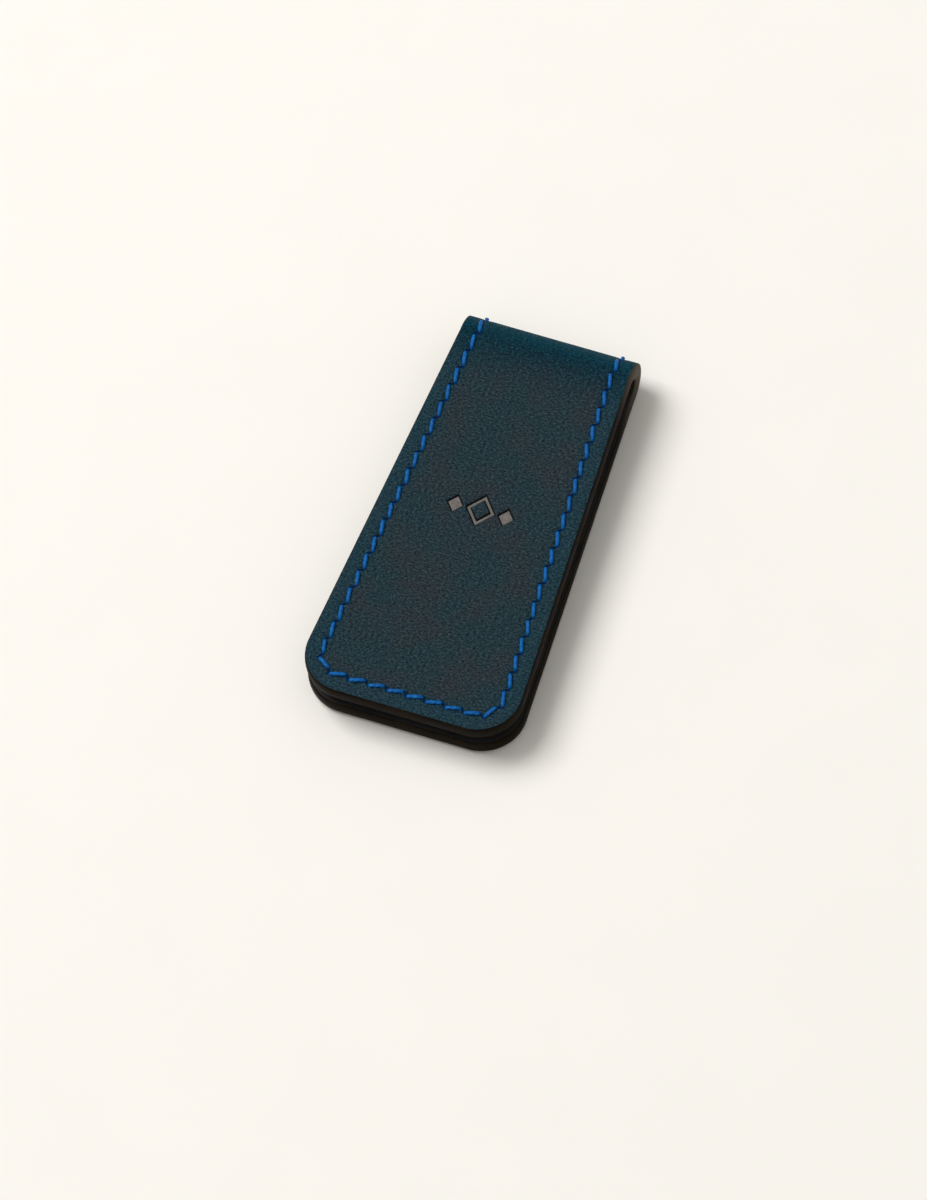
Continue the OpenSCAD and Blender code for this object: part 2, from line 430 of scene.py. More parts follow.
def lining_depth(x, v):
    depth = LINING_SHARE * trough(x, v)
    depth += LINING_WAVE * waves(x, v, size=11, seed=8) * smooth(0.3, 2, edge_room(x, v))
    return np.maximum(depth, slit_depth(x, v, LINING_SHARE * SLIT_DEPTH))


def pocket_depth(x, v):
    """The recess for the magnet in the hidden side of the outer leather or the lining."""
    v = as_upper(v)
    deep = (MAGNET_T - (FILLER_END_T - OUTER_T)) / 2 + POCKET_SLACK
    return deep * (1 - smooth(MAGNET_R + 0.06, MAGNET_R + 0.1, np.hypot(x, v - MAGNET_V)))


print(f"deepest crease {CREASE_DEPTH * CREASE_LIMIT:.3f}, magnet pocket {pocket_depth(0.0, MAGNET_V):.2f}")


# %% [markdown]
# ## Cutting the hide into triangles
#
# A regular grid fine enough for the pressed lines would be huge. A constrained Delaunay triangulation
# takes any points and any lines that must stay as edges, so the mesh is fine only where the leather
# has detail: along the seam, round each slit, at the ornament and over the bend.

# %% Points and lines of the drawing
class Drawing:
    """Points and fixed lines on the flat hide, kept a little apart from each other."""

    def __init__(self, rim):
        self.points = [tuple(p) for p in rim]
        self.lines = [(i, (i + 1) % len(rim)) for i in range(len(rim))]
        self.rim_count = len(rim)

    def loop(self, points, closed=True):
        first = len(self.points)
        self.points += [tuple(p) for p in points]
        last = len(self.points) - 1
        self.lines += [(i, i + 1) for i in range(first, last)]
        if closed:
            self.lines.append((last, first))

    def fill(self, points, apart, room):
        """Adds the points that lie inside the rim and clear of what is there."""
        tree = KDTree(len(self.points))
        for i, p in enumerate(self.points):
            tree.insert((p[0], p[1], 0), i)
        tree.balance()
        points = np.asarray(points, float)
        points = points[edge_room(points[:, 0], points[:, 1]) > room]
        self.points += [tuple(p) for p in points if tree.find((p[0], p[1], 0))[2] > apart]

    def cut(self):
        """Triangulates. Returns the points, with the rim's first and in order, and the triangles."""
        given = [Vector(p) for p in self.points]
        points, _, faces, origin, _, _ = delaunay_2d_cdt(given, self.lines, [], 1, 1e-6)
        place_of = {}
        for new, olds in enumerate(origin):
            for old in olds:
                place_of[old] = new
        order = [place_of[i] for i in range(self.rim_count)]
        seen = set(order)
        order += [i for i in range(len(points)) if i not in seen]
        rank = {old: new for new, old in enumerate(order)}
        flat = np.array([points[i] for i in order])
        triangles = np.array([[rank[i] for i in f] for f in faces])
        return flat, triangles


print("a drawing keeps its rim first, so that sheets can be joined along it")

# %% Shapes in the drawing
WALL_OUT, WALL_IN = 0.07, 0.17
ROUND_STEPS = 72


def lozenge_loop(centre, half, offset, step=0.35):
    a, b = half
    grow = 1 + offset * math.hypot(a, b) / (a * b)
    corners = [(a * grow, 0), (0, b * grow), (-a * grow, 0), (0, -b * grow)]
    points = []
    for p, q in zip(corners, corners[1:] + corners[:1]):
        points += spaced(p, q, step)
    return np.array(points) + centre


def circle_loop(centre, radius, count):
    a = np.linspace(0, math.tau, count, endpoint=False)
    return np.stack([centre[0] + radius * np.cos(a), centre[1] + radius * np.sin(a)], -1)


def slit_loop(centre, direction, grow):
    across = np.array([-direction[1], direction[0]])
    points = []
    for k in (-1, -0.6, 0, 0.6, 1, 0.6, 0, -0.6):
        side = 1 if len(points) < 4 else -1
        wide = SLIT_WIDTH * (1 - k * k) + grow if abs(k) < 1 else 0
        points.append(centre + direction * k * (SLIT_HALF + grow) - across * side * wide)
    return np.array(points)


print("slits, lozenges and circles can be drawn")

# %% Seam, ornament, magnets and grid
SEAM_BAND = (-1.3, -0.85, -0.5, -0.2, 0.2, 0.5, 0.85, 1.3)


def draw_seam(drawing):
    for c, d in zip(SLITS, SLIT_DIR):
        drawing.loop(slit_loop(c, d, 0.06))
        drawing.loop([c - d * SLIT_HALF * 0.7, c, c + d * SLIT_HALF * 0.7], closed=False)
    band = []
    for a, b in zip(SLITS, np.roll(SLITS, -1, 0)):
        across = np.array([a[1] - b[1], b[0] - a[0]]) / np.linalg.norm(b - a)
        for p in spaced(a, b, 0.42):
            band += [p + across * off for off in SEAM_BAND]
    drawing.fill(band, apart=0.13, room=0.25)


def draw_ornament(drawing):
    side = [h * SIDE_SCALE for h in LOZENGE]
    for offset in (0.3, WALL_OUT, -WALL_IN):
        drawing.loop(lozenge_loop((0, ORNAMENT_AT), LOZENGE, offset))
        drawing.loop(lozenge_loop((0, ORNAMENT_AT), LOZENGE, -ORNAMENT_LINE - offset))
        for s in (-1, 1):
            drawing.loop(lozenge_loop((s * SIDE_X, ORNAMENT_AT), side, offset))


def draw_grid(drawing, across, along, v0, v1, apart):
    xs = np.arange(-TIP_HALF, TIP_HALF, across)
    vs = np.arange(v0, v1, along)
    grid = np.stack(np.meshgrid(xs, vs), -1).reshape(-1, 2)
    drawing.fill(grid, apart, apart)


def draw_magnets(drawing, radii):
    for v in (MAGNET_V, BEND_LEN - MAGNET_V):
        for r in radii:
            drawing.fill(circle_loop((0, v), r, ROUND_STEPS), apart=0.12, room=0.3)


print("every mark of the leather can be drawn")

# %% One drawing for each kind of sheet
PLATEAU_RINGS = (6.0, 6.3, 6.6, 6.9, 7.3)
POCKET_RINGS = (6.38, 6.48)


def draw_face(rim):
    drawing = Drawing(rim)
    draw_ornament(drawing)
    draw_seam(drawing)
    draw_magnets(drawing, PLATEAU_RINGS)
    draw_grid(drawing, across=0.5, along=0.24, v0=-7, v1=BEND_LEN + 3, apart=0.2)
    draw_grid(drawing, across=0.9, along=0.9, v0=-ARM, v1=BEND_LEN + ARM, apart=0.4)
    return drawing.cut()


def draw_lining(rim):
    drawing = Drawing(rim)
    draw_seam(drawing)
    draw_grid(drawing, across=1.0, along=0.3, v0=-1.5, v1=BEND_LEN + 1.5, apart=0.25)
    draw_grid(drawing, across=1.6, along=1.6, v0=-ARM, v1=BEND_LEN + ARM, apart=0.6)
    return drawing.cut()


def draw_plain_grid(drawing):
    draw_grid(drawing, across=2.2, along=0.4, v0=-1.5, v1=BEND_LEN + 1.5, apart=0.3)
    draw_grid(drawing, across=3, along=3, v0=-ARM, v1=BEND_LEN + ARM, apart=1)


def draw_hidden(rim):
    drawing = Drawing(rim)
    draw_magnets(drawing, POCKET_RINGS)
    draw_plain_grid(drawing)
    return drawing.cut()


print("face, lining and hidden sheets can be drawn")

# %% Rounded edge
EDGE_ROUND = 0.3
EDGE_STEP = math.radians(13)


def edge_inset(depth):
    """How far the rounded edge of the strip stands in from its widest line, at a depth."""
    angle = math.acos(np.clip(1 - 2 * depth / STRIP_T, -1, 1))
    return EDGE_ROUND * (1 - math.sin(angle))


def rim_at(depth):
    return RIM - RIM_OUT * edge_inset(depth)


print(f"the rim of the face stands {edge_inset(0):.2f} in from the widest line")

# %% Cut each sheet once
face_cut = draw_face(rim_at(0))
lining_cut = draw_lining(rim_at(STRIP_T))
hidden_outer_cut = draw_hidden(rim_at(OUTER_T))
hidden_lining_cut = draw_hidden(rim_at(FILLER_END_T))
SHEETS = (("face", face_cut), ("lining", lining_cut), ("hidden", hidden_outer_cut))
for title, (points, triangles) in SHEETS:
    print(f"{title}: {len(points)} points, {len(triangles)} triangles")

# %% [markdown]
# ## The three leathers
#
# Each leather is a closed piece with two drawn sheets and the part of the rounded edge between them.
# The edge was sanded and burnished after the layers were glued, so one profile runs over all three.
# Every piece is one continuous strip from tip to tip, as it was cut, laid round the fold.

# %% Rows of the rounded edge
def edge_depths(t0, t1):
    """Depths of the rows of the rounded edge between two joints."""
    a0, a1 = (math.acos(np.clip(1 - 2 * t / STRIP_T, -1, 1)) for t in (t0, t1))
    rows = max(2, round((a1 - a0) / EDGE_STEP))
    return [STRIP_T / 2 * (1 - math.cos(a0 + (a1 - a0) * i / rows)) for i in range(rows + 1)]


print(len(edge_depths(0, OUTER_T)), "rows on the edge of the coloured leather")


# %% Mesh from hide points
def make_mesh(name, hide, faces, slots):
    """A mesh from hide points, each keeping its hide place for its material to read."""
    mesh = bpy.data.meshes.new(name)
    mesh.from_pydata(place(hide[:, 0], hide[:, 1], hide[:, 2]).tolist(), [], faces)
    mesh.attributes.new("hide", "FLOAT_VECTOR", "POINT").data.foreach_set("vector", hide.astype("f4").ravel())
    for material in slots:
        mesh.materials.append(material)
    mesh.polygons.foreach_set("use_smooth", [True] * len(mesh.polygons))
    mesh.update()
    piece = bpy.data.objects.new(name, mesh)
    bpy.context.scene.collection.objects.link(piece)
    return piece


print("meshes keep their hide places")


# %% Closed strip between two sheets
def strip_piece(name, top, top_t, bottom, bottom_t, t0, t1, slots):
    """A closed strip between two drawn sheets. The edge takes the second material."""
    (top_points, top_faces), (bottom_points, bottom_faces) = top, bottom
    count, offset = len(RIM), len(top_points)
    hide = [np.column_stack([top_points, top_t]), np.column_stack([bottom_points, bottom_t])]
    faces = top_faces.tolist() + (bottom_faces[:, ::-1] + offset).tolist()
    rows = [np.arange(count)]
    start = offset + len(bottom_points)
    for depth in edge_depths(t0, t1)[1:-1]:
        hide.append(np.column_stack([rim_at(depth), np.full(count, depth)]))
        rows.append(start + np.arange(count))
        start += count
    rows.append(offset + np.arange(count))
    sheet_faces = len(faces)
    for upper, lower in zip(rows, rows[1:]):
        after = np.roll(np.arange(count), -1)
        faces += np.column_stack([upper, lower, lower[after], upper[after]]).tolist()
    piece = make_mesh(name, np.concatenate(hide), faces, slots)
    on_edge = np.zeros(len(faces), "i4")
    on_edge[sheet_faces:] = 1
    piece.data.polygons.foreach_set("material_index", on_edge)
    return piece


print("strips close along", len(RIM), "points of the rim")

# %% [markdown]
# ## Leather and edge finishes
#
# The face is dyed through and then stuffed with wax. Its colour varies in clouds, and on the flat arms
# it is greyed by a painted reflection of the soft light, while over the bend the teal dye shows without it.
# Its material reads the hide coordinates, so clouds and pores stay on the hide when the clip opens.

# %% Nodes and new finishes
def add(tree, kind, values=None, **settings):
    """A node with its settings. Each value is either a number or a socket to link."""
    made = tree.nodes.new(kind)
    for key, value in settings.items():
        setattr(made, key, value)
    for key, value in (values or {}).items():
        if isinstance(value, bpy.types.NodeSocket):
            tree.links.new(value, made.inputs[key])
        else:
            made.inputs[key].default_value = value
    return made


def new_finish(name, **shader_values):
    """A material with a Principled shader. Returns it, its node tree and the shader."""
    material = bpy.data.materials.new(name)
    material.use_nodes = True
    tree = material.node_tree
    tree.nodes.clear()
    shader = add(tree, "ShaderNodeBsdfPrincipled", {k.replace("_", " "): v for k, v in shader_values.items()})
    add(tree, "ShaderNodeOutputMaterial", {"Surface": shader.outputs[0]})
    return material, tree, shader


print("finishes start from one shader")


# %% Values from the hide
def hide_place(tree, scale=(1, 1, 1)):
    """The hide coordinates of the shaded point, in millimetres, stretched by scale."""
    found = add(tree, "ShaderNodeAttribute", attribute_name="hide")
    values = {0: found.outputs["Vector"], 1: scale}
    return add(tree, "ShaderNodeVectorMath", values, operation="MULTIPLY").outputs[0]


def noise(tree, vector, size, detail=2.0, roughness=0.5):
    """Cloudy noise whose lumps are about size across."""
    values = {"Vector": vector, "Scale": 1 / size, "Detail": detail, "Roughness": roughness}
    return add(tree, "ShaderNodeTexNoise", values).outputs[0]


def remap(tree, value, low, high, to_low=0.0, to_high=1.0):
    values = {0: value, 1: low, 2: high, 3: to_low, 4: to_high}
    return add(tree, "ShaderNodeMapRange", values, interpolation_type="SMOOTHSTEP").outputs[0]


def mix(tree, factor, a, b):
    """A colour between a and b."""
    return add(tree, "ShaderNodeMix", {0: factor, 6: a, 7: b}, data_type="RGBA").outputs[2]


def math_node(tree, operation, a, b):
    return add(tree, "ShaderNodeMath", {0: a, 1: b}, operation=operation).outputs[0]


def bump(tree, height, distance_mm, normal=None):
    """Raises the surface by height times distance_mm."""
    values = {"Height": height, "Distance": distance_mm * MM, "Strength": 1.0}
    if normal is not None:
        values["Normal"] = normal
    return add(tree, "ShaderNodeBump", values).outputs[0]


print("noise and bump are measured in millimetres on the hide")


# %% Colours, and where the bend is
def rgb(r, g, b):
    """An 8-bit display colour as linear light."""
    linear = [c / 255 / 12.92 if c <= 10 else ((c / 255 + 0.055) / 1.055) ** 2.4 for c in (r, g, b)]
    return (*linear, 1.0)


def near_bend(tree):
    """1 in the middle of the bend, falling to 0 on the arms."""
    v = add(tree, "ShaderNodeSeparateXYZ", {0: hide_place(tree)}).outputs[1]
    away = math_node(tree, "ABSOLUTE", math_node(tree, "SUBTRACT", v, BEND_LEN / 2), 0)
    return remap(tree, away, BEND_LEN / 2 - 4, BEND_LEN / 2 + 9, 1, 0)


print("mid grey in linear light:", round(rgb(128, 128, 128)[0], 3))


# %% Coloured face leather
def face_leather():
    material, tree, shader = new_finish("teal_pull_up_leather", Specular_IOR_Level=0.035)
    flat = hide_place(tree)
    tone_and_seam_shade = add(tree, "ShaderNodeAttribute", attribute_name="tone_and_seam_shade").outputs["Vector"]
    tone_and_seam_shade = add(tree, "ShaderNodeSeparateXYZ", {0: tone_and_seam_shade})
    clouds = noise(tree, flat, 8, 3, 0.55)
    patches = noise(tree, hide_place(tree, (1, 0.8, 1)), 3.0, 3, 0.6)
    flecks = noise(tree, hide_place(tree, (0.75, 1.2, 1)), 0.36, 2, 0.75)
    lines = noise(tree, hide_place(tree, (0.3, 2.8, 1)), 0.8, 3, 0.6)
    bend = near_bend(tree)
    # Painted reflection: the cloud and patch colours of the flat arms are greyed by the soft light's sheen,
    # painted in; the bend mix below leaves it out, so the teal dye shows there.
    colour = mix(tree, remap(tree, clouds, 0.36, 0.66), rgb(36, 57, 64), rgb(48, 54, 61))
    colour = mix(tree, remap(tree, patches, 0.42, 0.75, 0, 0.5), colour, rgb(37, 61, 69))
    colour = mix(tree, math_node(tree, "MULTIPLY", tone_and_seam_shade.outputs[0], 0.65), colour, rgb(26, 61, 75))
    # Painted shade: the second tone darkens the face beside the seam, where its trough is shaded.
    colour = mix(tree, math_node(tree, "MULTIPLY", tone_and_seam_shade.outputs[1], 0.45), colour, rgb(18, 52, 68))
    stretched = mix(tree, remap(tree, lines, 0.36, 0.64), rgb(0, 32, 44), rgb(0, 54, 70))
    stretched = mix(tree, remap(tree, bend, 0.7, 0.98, 0, 0.6), stretched, rgb(2, 68, 86))
    colour = mix(tree, bend, colour, stretched)
    colour = mix(tree, remap(tree, flecks, 0.3, 0.52, 0.8, 0), colour, rgb(8, 20, 26))
    # Painted reflection: the light flecks are greyed by painted sheen on the flat arms and are teal on the
    # bend.
    light_fleck_and_sheen = mix(tree, bend, rgb(66, 88, 94), rgb(12, 80, 98))
    colour = mix(tree, remap(tree, flecks, 0.48, 0.7, 0, 0.8), colour, light_fleck_and_sheen)
    tree.links.new(colour, shader.inputs["Base Color"])
    rough = remap(tree, noise(tree, flat, 2.2, 3), 0.3, 0.7, 0.46, 0.6)
    tree.links.new(rough, shader.inputs["Roughness"])
    pores = add(tree, "ShaderNodeTexVoronoi", {"Vector": flat, "Scale": 2.6}, feature="DISTANCE_TO_EDGE")
    normal = bump(tree, remap(tree, pores.outputs[0], 0.0, 0.12), 0.012)
    normal = bump(tree, flecks, 0.38, normal)
    normal = bump(tree, noise(tree, flat, 1.6, 3), 0.03, normal)
    normal = bump(tree, math_node(tree, "MULTIPLY", lines, bend), 0.24, normal)
    tree.links.new(normal, shader.inputs["Normal"])
    return material


FACE = face_leather()
print("made", FACE.name)


# %% [markdown]
# The edge is dyed dark, waxed and rubbed until the three layers read as one. A mask in each leather's
# own material would have to agree across three pieces, so the edge faces share one finish of their own.
# Its fibres run along the edge, and it is paler round the bend.

# %% Burnished edge
def burnished_edge():
    """Dark dye and wax over all three layers, paler round the bend."""
    material, tree, shader = new_finish("burnished_edge", Specular_IOR_Level=0.015)
    flat = hide_place(tree)
    fibres = noise(tree, hide_place(tree, (0.5, 0.5, 4)), 0.8, 3, 0.6)
    patches = noise(tree, flat, 3.5, 3)
    colour = mix(tree, remap(tree, patches, 0.35, 0.7), rgb(22, 16, 11), rgb(33, 26, 18))
    colour = mix(tree, math_node(tree, "MULTIPLY", near_bend(tree), 0.8), colour, rgb(92, 81, 69))
    colour = mix(tree, remap(tree, fibres, 0.45, 0.8, 0, 0.3), colour, rgb(46, 38, 29))
    tree.links.new(colour, shader.inputs["Base Color"])
    tree.links.new(remap(tree, patches, 0.3, 0.7, 0.36, 0.52), shader.inputs["Roughness"])
    normal = bump(tree, fibres, 0.05)
    normal = bump(tree, noise(tree, flat, 0.25, 2), 0.015, normal)
    tree.links.new(normal, shader.inputs["Normal"])
    return material


EDGE = burnished_edge()
print("made", EDGE.name)


# %% [markdown]
# The lining is a thin dark leather with a finer grain than the face, and the filler is undyed. Both are
# plain, so one function makes them from two colours and the height of the grain.

# %% Lining and filler leather
def plain_leather(name, dark, light, grain_mm):
    material, tree, shader = new_finish(name, Specular_IOR_Level=0.3)
    flat = hide_place(tree)
    colour = mix(tree, remap(tree, noise(tree, flat, 5, 4, 0.6), 0.35, 0.68), dark, light)
    tree.links.new(colour, shader.inputs["Base Color"])
    tree.links.new(remap(tree, noise(tree, flat, 2, 3), 0.3, 0.7, 0.55, 0.7), shader.inputs["Roughness"])
    pores = add(tree, "ShaderNodeTexVoronoi", {"Vector": flat, "Scale": 3.2}, feature="DISTANCE_TO_EDGE")
    normal = bump(tree, remap(tree, pores.outputs[0], 0, 0.12), grain_mm)
    normal = bump(tree, noise(tree, flat, 0.2, 2), 0.012, normal)
    tree.links.new(normal, shader.inputs["Normal"])
    return material


LINING = plain_leather("dark_lining_leather", rgb(27, 26, 27), rgb(39, 37, 37), 0.022)
FILLER = plain_leather("undyed_filler_leather", rgb(120, 92, 66), rgb(146, 116, 86), 0.01)
print("made", LINING.name, "and", FILLER.name)


# %% [markdown]
# Pressing and stitching leave three more looks. The floor of a lozenge is chalky, its wall is scorched
# nearly black, and a slit is stained by the thread. Each could be a mask in the face's material, but a
# finish of its own stays sharp along the lines that were drawn for it.

# %% Pressed floor, scorched wall and stained slit
def pressed_leather():
    """The floor of the pressed lozenges, where heat has browned the dye to a chalky grey."""
    material, tree, shader = new_finish("pressed_leather", Specular_IOR_Level=0.25)
    flat = hide_place(tree)
    patches = remap(tree, noise(tree, flat, 0.8, 4, 0.7), 0.3, 0.75)
    colour = mix(tree, patches, rgb(96, 91, 87), rgb(122, 116, 111))
    tree.links.new(colour, shader.inputs["Base Color"])
    shader.inputs["Roughness"].default_value = 0.7
    tree.links.new(bump(tree, noise(tree, flat, 0.3, 3), 0.04), shader.inputs["Normal"])
    return material


def cut_leather(name, dark, light):
    """The wall of a pressed line or an awl slit, dark with wax."""
    material, tree, shader = new_finish(name, Specular_IOR_Level=0.1)
    flat = hide_place(tree)
    colour = mix(tree, noise(tree, flat, 0.4, 3), dark, light)
    tree.links.new(colour, shader.inputs["Base Color"])
    shader.inputs["Roughness"].default_value = 0.65
    tree.links.new(bump(tree, noise(tree, flat, 0.2, 2), 0.02), shader.inputs["Normal"])
    return material


PRESSED = pressed_leather()
SCORCHED = cut_leather("scorched_leather", rgb(4, 6, 8), rgb(12, 16, 19))
SLIT = cut_leather("thread_stained_slit", rgb(0, 22, 58), rgb(2, 44, 96))
print("made", PRESSED.name, SCORCHED.name, "and", SLIT.name)

# %% [markdown]
# ## Laying up the strip
#
# The face and the lining carry the relief. The two hidden sides are flat but for the pockets that
# let the magnets sink a little into each leather, because a magnet is thicker than the filler.

# %% Outer leather
top_points, top_faces = face_cut
x, v = top_points[:, 0], top_points[:, 1]
top_t = face_depth(x, v)
top_t[:len(RIM)] = 0
bottom_t = OUTER_T - pocket_depth(*hidden_outer_cut[0].T)
outer = strip_piece("outer_leather", face_cut, top_t, hidden_outer_cut, bottom_t, 0, OUTER_T,
                    [FACE, EDGE, PRESSED, SCORCHED, SLIT])
print("outer leather:", len(outer.data.vertices), "points")

# %% Paint the marks
SLIT_STAIN = 0.03


def paint(piece, first, chosen, material):
    """Gives one material to the chosen faces of a sheet that begins at face number first."""
    numbers = np.zeros(len(piece.data.polygons), "i4")
    piece.data.polygons.foreach_get("material_index", numbers)
    numbers[first:first + len(chosen)][chosen] = piece.data.materials.find(material.name)
    piece.data.polygons.foreach_set("material_index", numbers)


middle = top_points[top_faces].mean(1)
reach = ornament_reach(middle[:, 0], middle[:, 1])
slit = slit_reach(middle[:, 0], middle[:, 1])
paint(outer, 0, reach < WALL_OUT, SCORCHED)
paint(outer, 0, reach < -WALL_IN, PRESSED)
paint(outer, 0, slit < SLIT_STAIN, SLIT)
for title, chosen in (("lozenges", reach < WALL_OUT), ("slits", slit < SLIT_STAIN)):
    print("painted", int(chosen.sum()), "faces of", title)

# %% Tone of the face, and painted shade beside the seam
SEAM_SHADE_WIDTH = 0.8
tone_and_seam_shade = np.zeros((len(outer.data.vertices), 3), "f4")
tone_and_seam_shade[:len(x), 0] = 1 - smooth(SEAM_INSET - 0.6, SEAM_INSET + 1.4, edge_room(x, v))
# Painted shade: the second tone falls off with distance from the seam and stands in for the trough's shade.
tone_and_seam_shade[:len(x), 1] = np.exp(-((seam_distance(x, v) / SEAM_SHADE_WIDTH) ** 2))
outer.data.attributes.new("tone_and_seam_shade", "FLOAT_VECTOR", "POINT").data.foreach_set("vector", tone_and_seam_shade.ravel())
print("tone runs along the border and beside the seam")

# %% Lining
lining_t = STRIP_T - lining_depth(*lining_cut[0].T)
lining_t[:len(RIM)] = STRIP_T
sunk_t = FILLER_END_T + pocket_depth(*hidden_lining_cut[0].T)
lining = strip_piece("lining_leather", hidden_lining_cut, sunk_t, lining_cut, lining_t,
                     FILLER_END_T, STRIP_T, [LINING, EDGE, SLIT])
middle = lining_cut[0][lining_cut[1]].mean(1)
slit = slit_reach(middle[:, 0], middle[:, 1])
paint(lining, len(hidden_lining_cut[1]), slit < SLIT_STAIN, SLIT)
print("lining:", len(lining.data.vertices), "points")

# %% [markdown]
# The filler has a hole punched through it for each magnet. Both of its sides use one drawing, so each
# point of a hole's rim has its partner straight below, and the wall of the hole is a ring of quads.

# %% Drawing with the magnet holes
MAGNET_ROOM = 0.05


def draw_filler(rim):
    drawing = Drawing(rim)
    for v in (MAGNET_V, BEND_LEN - MAGNET_V):
        drawing.loop(circle_loop((0, v), MAGNET_R + MAGNET_ROOM, ROUND_STEPS))
    draw_plain_grid(drawing)
    points, triangles = drawing.cut()
    middle = points[triangles].mean(1)
    away = np.hypot(middle[:, 0], as_upper(middle[:, 1]) - MAGNET_V)
    return points, triangles[away > MAGNET_R + MAGNET_ROOM]


def hole_edges(triangles, rim_count):
    """The edges that only one triangle has and that aren't on the rim."""
    edges = {(a, b) for t in triangles.tolist() for a, b in zip(t, t[1:] + t[:1])}
    return [(a, b) for a, b in edges if (b, a) not in edges and min(a, b) >= rim_count]


print("magnet holes", round(2 * (MAGNET_R + MAGNET_ROOM), 2), "across")

# %% Filler
def filler_piece():
    points, triangles = draw_filler(rim_at(OUTER_T))
    used = np.unique(triangles)
    rank = np.zeros(len(points), int)
    rank[used] = np.arange(len(used))
    top, triangles = points[used], rank[triangles]
    bottom = top.copy()
    bottom[:len(RIM)] = rim_at(FILLER_END_T)
    strip = strip_piece("filler_leather", (top, triangles), np.full(len(top), OUTER_T),
                        (bottom, triangles), np.full(len(top), FILLER_END_T), OUTER_T, FILLER_END_T,
                        [FILLER, EDGE])
    walls = [(a, a + len(top), b + len(top), b) for a, b in hole_edges(triangles, len(RIM))]
    hide = np.zeros(len(strip.data.vertices) * 3, "f4")
    strip.data.attributes["hide"].data.foreach_get("vector", hide)
    faces = [tuple(p.vertices) for p in strip.data.polygons]
    indices = [p.material_index for p in strip.data.polygons] + [0] * len(walls)
    bpy.data.objects.remove(strip)
    piece = make_mesh("filler_leather", hide.reshape(-1, 3).astype(float), faces + walls, [FILLER, EDGE])
    piece.data.polygons.foreach_set("material_index", indices)
    return piece


filler = filler_piece()
print("filler:", len(filler.data.vertices), "points")

# %% [markdown]
# ## The stitches
#
# Waxed thread of this size is three plies laid round each other. Each visible run rises from one slit,
# lies just proud of the leather and dives into the next, and the plies show as slanted grooves. One run
# is a tube of rings whose radius has three lobes that turn as it goes along. A little seeded unevenness
# in each run keeps the row from looking printed. On the lining the runs are pulled in deeper, so that
# the two inside seams clear each other when the clip closes.

# %% Thread finish
def waxed_thread():
    material, tree, shader = new_finish("waxed_blue_thread", Specular_IOR_Level=0.12)
    strand = add(tree, "ShaderNodeAttribute", attribute_name="strand").outputs["Vector"]
    values = {0: strand, 1: (2.2, 9.0, 1.0)}
    stretched = add(tree, "ShaderNodeVectorMath", values, operation="MULTIPLY").outputs[0]
    fibres = noise(tree, stretched, 1.0, 3, 0.6)
    wax = noise(tree, hide_place(tree), 0.7, 3)
    colour = mix(tree, remap(tree, fibres, 0.3, 0.7), rgb(0, 60, 122), rgb(8, 112, 194))
    # Painted highlight: lighter blue patches stand in for the thread's highlights; the same noise also varies
    # the wax's roughness.
    colour = mix(tree, remap(tree, wax, 0.5, 0.8, 0, 0.4), colour, rgb(30, 138, 216))
    # Painted shade: each run darkens to navy towards its ends, where it dives into the slits.
    dive = add(tree, "ShaderNodeSeparateXYZ", {0: strand}).outputs[2]
    colour = mix(tree, remap(tree, dive, 0.66, 0.98, 0, 0.85), colour, rgb(0, 22, 56))
    tree.links.new(colour, shader.inputs["Base Color"])
    tree.links.new(remap(tree, wax, 0.3, 0.7, 0.34, 0.5), shader.inputs["Roughness"])
    tree.links.new(bump(tree, fibres, 0.03), shader.inputs["Normal"])
    return material


THREAD = waxed_thread()
print("made", THREAD.name)

# %% One run of thread
PLIES = 3
PLY_PITCH = 2.0
DIVE_DEPTH = 0.75


def thread_run(a, b, face_t, side, proud, half_w, half_h, sides, rings, rng):
    """One run between two hide places. side is -1 on the coloured face and 1 on the lining."""
    length = float(np.linalg.norm(b - a))
    forward = (b - a) / length
    across = np.array([forward[1], -forward[0]])
    s = np.linspace(0, 1, rings)
    rise = proud + rng.uniform(-0.02, 0.03) - DIVE_DEPTH * np.abs(2 * s - 1) ** 5
    bow = rng.uniform(-0.05, 0.05) * (1 - (2 * s - 1) ** 2)
    centre = a + np.outer(s, b - a) + np.outer(bow, across)
    slope = np.gradient(rise, s * length)
    turn = np.linspace(0, math.tau, sides, endpoint=False)
    phase = rng.uniform(0, math.tau)
    size = 1 + rng.uniform(-0.05, 0.05)
    hide, strand = [], []
    for i in range(rings):
        spin = phase + s[i] * length / PLY_PITCH * math.tau / PLIES * 2
        lobes = 0.8 + 0.23 * np.abs(np.cos(PLIES / 2 * (turn - spin)))
        out = np.cos(turn) * half_w * lobes * size * (1 - 0.35 * abs(2 * s[i] - 1) ** 4)
        up = np.sin(turn) * half_h * lobes * size
        lean = math.atan(slope[i])
        place_xy = centre[i] + np.outer(out, across) - np.outer(up * math.sin(lean), forward)
        depth = face_t + side * (rise[i] + up * math.cos(lean))
        hide.append(np.column_stack([place_xy, depth]))
        along, dive = np.full(sides, s[i] * length), np.full(sides, abs(2 * s[i] - 1))
        strand.append(np.column_stack([along, turn - spin, dive]))
    return np.concatenate(hide), np.concatenate(strand)


print(f"{PLIES} plies to a thread, turning once in {PLY_PITCH * PLIES / 2:.1f}")


# %% Faces of a run
def run_faces(sides, rings, side):
    faces = []
    for i in range(rings - 1):
        for j in range(sides):
            k = (j + 1) % sides
            faces.append((i * sides + j, i * sides + k, (i + 1) * sides + k, (i + 1) * sides + j))
    faces.append(tuple(reversed(range(sides))))
    faces.append(tuple(range((rings - 1) * sides, rings * sides)))
    return faces if side < 0 else [tuple(reversed(f)) for f in faces]


